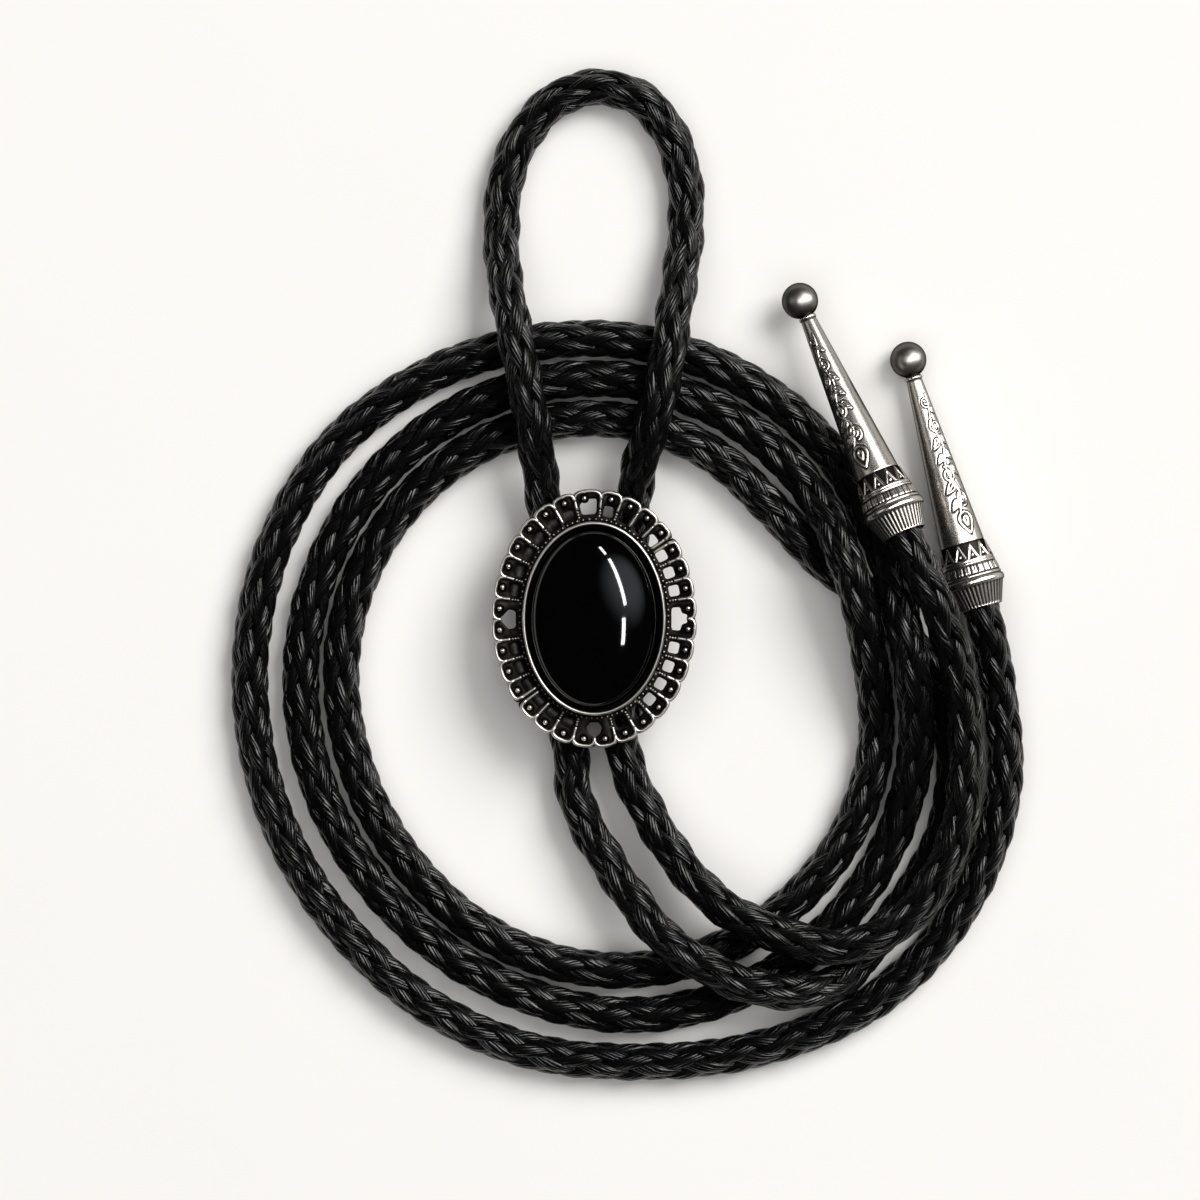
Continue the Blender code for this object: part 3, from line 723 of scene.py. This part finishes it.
def make_cords():
    finish = leather()
    cords = (
        ("neck_cord", "cord_neck", neck_line(), 3),
        ("left_tail_cord", "cord_left_tail", left_tail_line(), 5),
        ("right_tail_cord", "cord_right_tail", right_tail_line(), 7),
    )
    for name, node, line, seed in cords:
        cord = braided_cord(name, line, finish, seed)
        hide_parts(node)


# Slide

def oval_point(half, turn, height=0.0):
    return np.stack(np.broadcast_arrays(half[0] * np.cos(turn), half[1] * np.sin(turn), height), axis=-1)


def make_stone():
    """A smooth oval cabochon."""
    lean = np.linspace(0, math.pi / 2, STONE_RINGS + 1)[1:]
    turn = full_turn(STONE_SIDES)
    top = STONE_BASE + STONE_EDGE
    rows = [oval_point((STONE_HALF[0] * math.sin(a), STONE_HALF[1] * math.sin(a)), turn,
                       top + STONE_DOME * math.cos(a)) for a in lean]
    rows.append(oval_point(STONE_HALF, turn, STONE_BASE))
    points = np.concatenate(([(0, 0, top + STONE_DOME)], *rows, [(0, 0, STONE_BASE)]))
    stone = mesh_object("black_cabochon", points, dome_faces(len(rows), STONE_SIDES), black_stone())
    stone.data.set_sharp_from_angle(angle=math.radians(60))
    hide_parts("stone")


def slide_point(turn, out, height):
    """A point outside the bezel's foot: an angle of its oval, and millimetres out along its normal."""
    turn, out, height = np.broadcast_arrays(turn, out, height)
    a, b = BEZEL_FOOT
    normal = unit(np.stack((b * np.cos(turn), a * np.sin(turn)), axis=-1))
    longer = 1 + (OPENWORK_END / OPENWORK_SIDE - 1) * np.sin(turn) ** 2
    x = a * np.cos(turn) + normal[..., 0] * out * MM * longer
    y = b * np.sin(turn) + normal[..., 1] * out * MM * longer
    return np.stack((x, y, PLATE_TOP + height * MM), axis=-1)


def petal_point(position, out, height):
    """A point of the openwork: a position counted in petals, millimetres out and above the plate."""
    turn = np.linspace(0, 2 * math.pi, TURN_STEPS + 1)
    run = run_along(slide_point(turn, PETAL_LINE, 0.0))
    walls = np.concatenate(([0], np.cumsum(PETAL_SHARES)))
    share = np.interp(np.mod(position, PETALS), np.arange(PETALS + 1), walls / walls[-1])
    return slide_point(np.interp(share, run / run[-1], turn), out, height)


def rounded(corners):
    """A closed line with its corners cut off, and the new corners cut off once more."""
    line = np.array(corners, dtype=float)
    most = 1 - CORNER_CUT
    for _ in range(2):
        after = np.roll(line, -1, axis=0)
        cut = most * line + CORNER_CUT * after, CORNER_CUT * line + most * after
        line = np.stack(cut, axis=1).reshape(-1, 2)
    return line


def even_loop(line, count):
    """Points at equal distances along a closed line, from its point that is lowest and leftmost."""
    line = np.roll(line, -int(np.argmin(line[:, 0] + line[:, 1])), axis=0)
    line = np.concatenate((line, line[:1]))
    run = run_along(line)
    return read_line(line, run, np.linspace(0, run[-1], count, endpoint=False))


def cell_outline(middle, half):
    """A cell's outline: the bezel's side, two walls and a scallop for each of its petals."""
    along = np.linspace(half, -half, round(half * SCALLOP_POINTS) + 1)
    nearest = np.abs(along + middle - np.floor(along + middle) - 0.5) * 2
    edge = CELL_EDGE - CELL_NOTCH * nearest ** 3
    sides = np.linspace(CELL_INNER, CELL_EDGE - CELL_NOTCH, WALL_POINTS)
    inner = np.linspace(-half, half, WALL_POINTS)[:-1]
    return np.concatenate((
        np.column_stack((inner, np.full(len(inner), CELL_INNER))),
        np.column_stack((np.full(len(inner), half), sides[:-1])),
        np.column_stack((along, edge)),
        np.column_stack((np.full(WALL_POINTS - 2, -half), sides[::-1][1:-1])),
    ))


def add_cell(shape, middle, half, window):
    """One pierced cell of the plate; its points are spaced by their true distances."""
    scale = np.array((PETAL_WIDTH, 1.0))
    outline = even_loop(cell_outline(middle, half) * scale, CELL_POINTS) / scale
    hole = even_loop(rounded(window) * scale, CELL_POINTS) / scale
    points = []
    for share, height, _ in CELL_SECTION:
        flat = outline + (hole - outline) * share
        points.append(petal_point(middle + flat[:, 0], flat[:, 1], height))
    polish = np.repeat([shine for _, _, shine in CELL_SECTION], CELL_POINTS)
    shape.add(np.concatenate(points), grid_faces(len(CELL_SECTION), CELL_POINTS, closed=True), polish)


def make_plate(finish):
    """The pierced plate, with its plain oval under the stone."""
    shape = Builder()
    taken = {int((middle + step) % PETALS) for middle, half, _ in SPECIAL_CELLS
             for step in np.arange(-half, half)}
    for petal in range(PETALS):
        if petal not in taken:
            add_cell(shape, petal + 0.5, 0.5, PLAIN_WINDOW)
    for middle, half, window in SPECIAL_CELLS:
        add_cell(shape, middle, half, window)
    # The dark backings in the windows of these petals are painted shade for the shadowed floor under the
    # plate
    for first, last in SHADE_BACKED_PETALS:
        positions = np.linspace(first, last, SHADE_BACKING_STEPS * (last - first) + 1)
        rows = np.stack([petal_point(positions, out, height) for out, height in SHADE_BACKING_SECTION], axis=1)
        size = len(positions), len(SHADE_BACKING_SECTION)
        shape.add(rows, grid_faces(*size) + end_faces(*size), SHADE_BACKING_POLISH)
    turn = full_turn(PLATE_SIDES)
    oval = [slide_point(turn, OVAL_OUT, height) for height in (0.0, PLATE_DROP)]
    faces = grid_faces(2, PLATE_SIDES) + [tuple(reversed(face)) for face in end_faces(2, PLATE_SIDES)]
    shape.add(np.concatenate(oval), faces, OVAL_POLISH)
    return shape.make("setting_plate", finish)


def make_bezel(finish):
    shape = Builder()
    turn = full_turn(BEZEL_SIDES)
    rows = [slide_point(turn, out, height) for out, height, _ in BEZEL_PROFILE]
    polish = np.repeat([shine for _, _, shine in BEZEL_PROFILE], BEZEL_SIDES)
    shape.add(np.concatenate(rows), grid_faces(len(rows), BEZEL_SIDES, closed=True), polish)
    return shape.make("setting_bezel", finish)


def make_rims(finish):
    """The raised wires: an arch round each petal's end, and a rib on each wall."""
    shape = Builder()
    turn = np.linspace(0, math.pi, ARCH_POINTS)
    for petal in range(PETALS):
        right = 0.5 - SPLIT * (petal in SPLIT_WALLS)
        left = 0.5 - SPLIT * (petal + 1 in SPLIT_WALLS)
        bend = np.sign(np.cos(turn)) * np.abs(np.cos(turn)) ** ARCH_POWERS[0]
        across = petal + 0.5 + np.where(bend > 0, left, right) * bend
        out = ARCH_FOOT + ARCH_RISE * np.abs(np.sin(turn)) ** ARCH_POWERS[1]
        wire(shape, petal_point(across, out, RIM_HEIGHT), RIM_RADIUS * MM)
    for wall in range(PETALS):
        if wall in OPEN_WALLS:
            continue
        sides = (-SPLIT, SPLIT) if wall in SPLIT_WALLS else (0.0,)
        smooth = wall in SMOOTH_WALLS or wall in SPLIT_WALLS
        for side in sides:
            out = np.linspace(RIB_START, SMOOTH_RIB_END if smooth else RIB_END, RIB_POINTS)
            wire(shape, petal_point(wall + side, out, RIM_HEIGHT), RIB_RADIUS * MM)
            if not smooth:
                for out in RIB_GRANULES:
                    bead(shape, petal_point(wall, out, GRANULE_HEIGHT), GRANULE_RADIUS * MM, height=RIM_TALL)
    return shape.make("setting_rims", finish)


def make_setting_beads(finish):
    """A dark bead in each petal with a bright polished cap on its top, a painted highlight, and a ring of
    granules round the bezel.
    """
    shape = Builder()
    for petal in range(PETALS):
        middle = petal + 0.5 + (WIDE_PETAL_BEAD if petal == WIDE_PETAL else 0.0)
        place = petal_point(middle, BEAD_OUT, BEAD_HEIGHT)
        bead(shape, place, BEAD_RADIUS * MM, rings=7, sides=20, shine=(0.9, 3.0))
        # The polished cap sits where the bead's highlight shows: painted highlight
        bead(shape, petal_point(middle, BEAD_OUT, BEAD_RADIUS), BEAD_HIGHLIGHT_CAP * MM, shine=(-0.2, 0.3))
        for step in range(RING_PER_PETAL):
            place = petal_point(petal + (step + 0.5) / RING_PER_PETAL, RING_OUT, RING_HEIGHT)
            bead(shape, place, RING_RADIUS * MM, rings=5, sides=10, height=1.3, shine=(0.3, 1.1))
    return shape.make("setting_beads", finish)


def make_setting():
    finish = antique_silver("setting_silver", (0.96, 0.92, 0.86, 1),
                            smooth=0.3, rough=0.5, wear=0.12, edge=0.9)
    for piece in (make_plate(finish), make_bezel(finish), make_rims(finish), make_setting_beads(finish)):
        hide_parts("setting")


# Tips

def vine_width(y):
    """Half the vine's width in millimetres, at y from 0 at the ball's end to 10 at the band."""
    radius = TIP_NECK_RADIUS + (TIP_CONE_RADIUS - TIP_NECK_RADIUS) * (0.12 + 0.84 * y / 10)
    return VINE_HALF_ANGLE * radius / MM


def curl(middle, radius, start, turns, hand):
    """A spiral that starts on its outside; x and radius are in half widths, y in steps along the vine."""
    t = np.linspace(0, 1, 34)
    angle = math.radians(start) + hand * 2 * math.pi * turns * t
    size = radius * (1 - 0.68 * t)
    tall = 1.25 * vine_width(middle[1]) / VINE_STEP
    return np.column_stack((middle[0] + size * np.cos(angle), middle[1] + tall * size * np.sin(angle)))


def leaf(base, tip, width):
    """A pointed leaf: its outline from its base to its point and back, and its middle vein."""
    base, tip = np.array(base), np.array(tip)
    t = np.linspace(0, 1, 12)[:, None]
    across = np.array((base[1] - tip[1], tip[0] - base[0])) * width
    bulge = np.sin(math.pi * t ** 0.62)
    one, other = (base + (tip - base) * t + side * across * bulge for side in (1, -1))
    return [np.concatenate((one, other[::-1])), base + (tip - base) * t[2:8]]


def vine_lines():
    """The ornament's lines; x is in half widths and y runs from 0 at the ball's end to 10 at the band."""
    y = np.linspace(0.2, 8.6, 80)
    lines = [np.column_stack((0.3 * np.sin(y * 1.9 + 0.6), y))]
    lines += [curl(*row) for row in VINE_CURLS]
    for row in VINE_LEAVES:
        lines += leaf(*row)
    return lines + [leaf(*row)[0] for row in VINE_BUD]


def distance_to(lines, points):
    """Each point's distance to the nearest of some lines."""
    best = np.full(len(points), np.inf)
    for line in lines:
        for a, b in zip(line[:-1], line[1:]):
            along = b - a
            t = np.clip((points - a) @ along / max(along @ along, 1e-12), 0, 1)
            best = np.minimum(best, np.linalg.norm(points - a - t[:, None] * along, axis=1))
    return best


def tip_rows():
    """Distance along the tip, radius and polish of each row, from the ball to the socket, in millimetres."""
    length, ball, neck = TIP_LENGTH / MM, TIP_BALL_RADIUS / MM, TIP_NECK_RADIUS / MM
    cone, band_radius, ring = TIP_CONE_RADIUS / MM, TIP_BAND_RADIUS / MM, TIP_RING_RADIUS / MM
    skirt, ring_top = TIP_SKIRT / MM, (TIP_SKIRT + TIP_RING) / MM
    band_top = ring_top + TIP_BAND / MM
    mouth = (CORD_DIAMETER / 2 + CORD_CLEARANCE) / MM
    meets = math.pi - math.asin(neck / ball)
    rows = []
    for a in np.linspace(0, meets, BALL_ROWS + 1)[1:]:
        polish = BALL_POLISH * (1 - max(0, a / meets - 0.8) * 4)
        rows.append((length - ball + ball * math.cos(a), ball * math.sin(a), polish))
    start = rows[-1][0]
    rows += [(start - down, neck + out, polish) for down, out, polish in COLLAR_SECTION]
    top = rows[-1][0] - 0.1
    for share in np.linspace(0, 1, CONE_ROWS):
        radius = neck + (cone - neck) * (0.04 + 0.96 * share)
        rows.append((top + (band_top - top) * share, radius, CONE_POLISH))
    rows += [(band_top - 0.06, cone - 0.08, 0.0), (band_top - 0.16, cone + 0.02, 0.0)]
    for share in np.linspace(0, 1, BAND_ROWS):
        rows.append((band_top - 0.25 + (ring_top - band_top + 0.25) * share,
                     cone + 0.05 + (band_radius - cone - 0.05) * share, 0.0))
    for a in np.linspace(0, math.pi, RING_ROWS):
        rows.append((ring_top - (ring_top - skirt) * (0.5 - 0.5 * math.cos(a)),
                     band_radius + (ring - band_radius) * math.sin(a), 0.25 + 0.75 * math.sin(a)))
    for share in np.linspace(0.03, 0.95, SKIRT_ROWS):
        rows.append((skirt * (1 - share), band_radius + (mouth + 0.3 - band_radius) * share, SKIRT_POLISH))
    rows += [(along, mouth + out, polish) for along, out, polish in MOUTH_SECTION]
    return np.array(rows)


def tip_relief(rows, turn):
    """How far the ornament stands out at each row and angle in millimetres, and its polish."""
    z, radius, plain = (rows[:, k][:, None] * np.ones((1, len(turn))) for k in range(3))
    angle = turn[None, :] * np.ones((len(rows), 1))
    relief, polish = np.zeros_like(z), plain.copy()
    y = 10 * (VINE_TOP - z) / (VINE_TOP - VINE_BOTTOM)
    vine = [np.column_stack((line[:, 0] * vine_width(line[:, 1]), line[:, 1] * VINE_STEP))
            for line in vine_lines()]
    for side in VINE_SIDES:
        away = (angle - side + math.pi) % (2 * math.pi) - math.pi
        near = (np.abs(away / VINE_HALF_ANGLE) < 1.5) & (y > -0.6) & (y < 10.6) & (plain == CONE_POLISH)
        d = distance_to(vine, np.column_stack((away[near] * radius[near], y[near] * VINE_STEP)))
        thick = VINE_LINE[0] + (VINE_LINE[1] - VINE_LINE[0]) * y[near] / 10
        crest = np.clip(1 - (d / (1.5 * thick)) ** 2, 0, 1)
        dark = 1 - smooth_step((d - 1.85 * thick) / (1.1 * thick))
        relief[near] += VINE_RELIEF * crest - VINE_GROOVE * dark
        polish[near] = np.where(d < 1.2 * thick, VINE_POLISH, plain[near] * (1 - dark))
    share = (z - (TIP_SKIRT + TIP_RING) / MM) / (TIP_BAND / MM)
    band = (plain == 0) & (share > 0) & (share < 0.97)
    cell = angle[band] * BAND_TRIANGLES / (2 * math.pi) % 1
    half = math.pi * BAND_MIDDLE / BAND_TRIANGLES
    points = np.column_stack(((cell - 0.5) * 2 * half, share[band] * TIP_BAND / MM))
    foot = 0.92 * half
    lines = [((-foot, 2.55), (0, 4.75), (foot, 2.55), (-foot, 2.55)), ((-half, 2.15), (half, 2.15)),
             ((-half, 0.3), (half, 0.3)), ((0.0, 3.25), (0.0, 3.3))]
    lines += [((half * x, 0.8), (half * x, 1.65)) for x in (-0.7, -0.3, 0.3, 0.7)]
    d = distance_to([np.array(line) for line in lines], points)
    relief[band] += BAND_RELIEF * np.clip(1 - (d / (1.6 * BAND_LINE)) ** 2, 0, 1)
    polish[band] = 1 - smooth_step((d - BAND_LINE * 0.9) / (0.8 * BAND_LINE))
    skirt = plain == SKIRT_POLISH
    wave = 0.5 + 0.5 * np.cos(angle[skirt] * FLUTES)
    relief[skirt] -= FLUTE_DEPTH * (1 - wave)
    polish[skirt] = smooth_step((wave - 0.35) / 0.5) * 0.5
    return relief, polish


def make_tip(name, place, finish):
    rows = tip_rows()
    turn = full_turn(TIP_COLUMNS)
    relief, polish = tip_relief(rows, turn)
    radius = (rows[:, 1][:, None] + relief) * MM
    angle = turn + math.radians(VINE_TURN[name])
    body = np.stack((radius * np.cos(angle), radius * np.sin(angle),
                     rows[:, 0][:, None] * MM * np.ones_like(radius)), axis=-1).reshape(-1, 3)
    last = len(body) - TIP_COLUMNS
    ends = np.array(((0, 0, TIP_LENGTH), (0, 0, TIP_SOCKET)))
    faces = grid_faces(len(rows), TIP_COLUMNS)
    for j in range(TIP_COLUMNS):
        after = (j + 1) % TIP_COLUMNS
        faces += [(after, j, len(body)), (last + j, last + after, len(body) + 1)]
    shape = Builder()
    shape.add(np.concatenate((body, ends)), faces, np.concatenate((polish.ravel(), (BALL_POLISH, 0.0))))
    tip = shape.make("cast_" + name, finish, tip_frame(place))
    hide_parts(name)


def make_tips():
    finish = antique_silver("tip_silver", (0.5, 0.475, 0.445, 1),
                            smooth=0.2, rough=0.42, wear=0.05, edge=0.15)
    make_tip("tip_left", TIP_LEFT, finish)
    make_tip("tip_right", TIP_RIGHT, finish)


# Clip

def make_clip():
    """The clip keeps its CAD shape, with its edges eased."""
    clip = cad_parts["cord_clip"]
    clip.data.materials.clear()
    clip.data.materials.append(clip_metal())
    ease = clip.modifiers.new("eased_edges", "BEVEL")
    ease.width = 0.15 * MM
    ease.segments = 2
    ease.limit_method = "ANGLE"


# Studio

def area_light(name, place, size, power, colour, lit=None, along=(0, 1, 0)):
    """A rectangular light that faces the origin; lit names the collection that it alone lights."""
    data = bpy.data.lights.new(name, "AREA")
    data.shape = "RECTANGLE"
    data.size, data.size_y = size
    data.energy = power
    data.color = colour
    light = add_object(name, data)
    back = Vector(place).normalized()
    side = Vector(along).cross(back).normalized()
    turn = Matrix((side, back.cross(side), back)).transposed().to_4x4()
    light.matrix_world = Matrix.Translation(place) @ turn
    if lit:
        light.light_linking.receiver_collection = bpy.data.collections[lit]


def soften(light):
    """Fades a light to nothing towards its edges."""
    light.data.use_nodes = True
    tree = light.data.node_tree
    emission = tree.nodes["Emission"]
    place = tree.nodes.new("ShaderNodeNewGeometry").outputs["Parametric"]
    middle = tree.nodes.new("ShaderNodeVectorMath")
    middle.operation = "DISTANCE"
    middle.inputs[1].default_value = (0.5, 0.5, 0.0)
    tree.links.new(place, middle.inputs[0])
    fade = tree.nodes.new("ShaderNodeMapRange")
    fade.interpolation_type = "SMOOTHSTEP"
    for key, value in (("From Min", 0.12), ("From Max", 0.5), ("To Min", 1.0), ("To Max", 0.0)):
        fade.inputs[key].default_value = value
    tree.links.new(middle.outputs["Value"], fade.inputs["Value"])
    tree.links.new(fade.outputs["Result"], emission.inputs["Strength"])


def seen_in_stone(x, y, height):
    """Where a light at some height has to be for the stone to show it at x, y to the camera."""
    dome = STONE_DOME * math.sqrt(1 - (x / STONE_HALF[0]) ** 2 - (y / STONE_HALF[1]) ** 2)
    normal = Vector((x / STONE_HALF[0] ** 2, y / STONE_HALF[1] ** 2, dome / STONE_DOME ** 2)).normalized()
    away = 2 * normal.z * normal - Vector((0, 0, 1))
    return Vector((x, y, 0)) + away * (height / away.z)


def collect(name, pieces):
    made = bpy.data.collections.new(name)
    for piece in pieces:
        made.objects.link(piece)


def direction(elevation, azimuth):
    """A unit vector that rises by one angle, and is turned from the right by the other, in degrees."""
    rise, turn = math.radians(elevation), math.radians(azimuth)
    return Vector((math.cos(rise) * math.cos(turn), math.cos(rise) * math.sin(turn), math.sin(rise)))


# The tip light is long and square to the tips, and the tip glow is a weak one on their other side
LIGHTS = (   # name, place, size, power, colour, what it alone lights, and its long side's direction
    ("key", 4.0 * direction(46, 41), (2.3, 2.3), 146.0, (1, 0.985, 0.965), "all_but_stone"),
    ("fill", (0, 0, 1.6), (2.6, 2.6), 24.0, WARM_WHITE),
    ("setting_light", (0.2, 0.25, 1.2), (1.2, 1.2), 3.4, WARM_WHITE, "only_setting"),
    ("tip_glow", (-0.77, 0.05, 0.64), (0.5, 0.5), 0.9, (1, 0.97, 0.93), "only_tips"),
    ("tip_light", direction(55, 20), (0.5, 2.0), 46.0, WARM_WHITE, "only_tips", direction(-35, 20)),
    ("glow", (0.45, 0.25, 0.6), (1.05, 0.75), 2.4, (0.85, 0.92, 1.0), "only_stone"),
)


def make_floor():
    mesh = bpy.data.meshes.new("floor")
    corners = [(x * FLOOR_HALF, y * FLOOR_HALF, 0) for x, y in ((-1, -1), (1, -1), (1, 1), (-1, 1))]
    mesh.from_pydata(corners, [], [(0, 1, 2, 3)])
    mesh.materials.append(pale_floor())
    ground = add_object("floor", mesh)


def make_world():
    world = bpy.data.worlds.new("studio")
    world.use_nodes = True
    nodes, links = world.node_tree.nodes, world.node_tree.links
    background = nodes["Background"]
    background.inputs["Color"].default_value = (0.98, 0.97, 0.95, 1)
    strength = nodes.new("ShaderNodeMath")
    strength.operation = "MULTIPLY_ADD"
    links.new(nodes.new("ShaderNodeLightPath").outputs["Is Camera Ray"], strength.inputs[0])
    strength.inputs[1].default_value = WORLD_SEEN
    strength.inputs[2].default_value = WORLD_LIGHT
    links.new(strength.outputs[0], background.inputs["Strength"])
    bpy.context.scene.world = world


def make_lights():
    stone = bpy.data.objects["black_cabochon"]
    others = [o for o in bpy.context.scene.objects if o.type == "MESH" and o != stone]
    collect("all_but_stone", others)
    collect("only_stone", [stone])
    collect("only_setting", [o for o in others if o.name.startswith("setting_")])
    collect("only_tips", [o for o in others if o.name.startswith("cast_tip_")])
    for row in LIGHTS:
        area_light(*row)
    bpy.data.objects["fill"].visible_glossy = False
    soften(bpy.data.objects["glow"])
    for number, places in enumerate(STRIPS):
        top, low = (seen_in_stone(x * MM, y * MM, STRIP_HEIGHT) for x, y in places)
        long = (top - low).length
        area_light(f"strip_{number + 1}", (top + low) / 2, (STRIP_WIDTH, long), STRIP_POWER * long, (1, 1, 1),
                   lit="only_stone", along=top - low)


def make_studio():
    make_floor()
    make_world()
    make_lights()
    bpy.context.scene.view_settings.view_transform = "Standard"


make_camera()
make_cords()
make_stone()
make_setting()
make_tips()
make_clip()
make_studio()
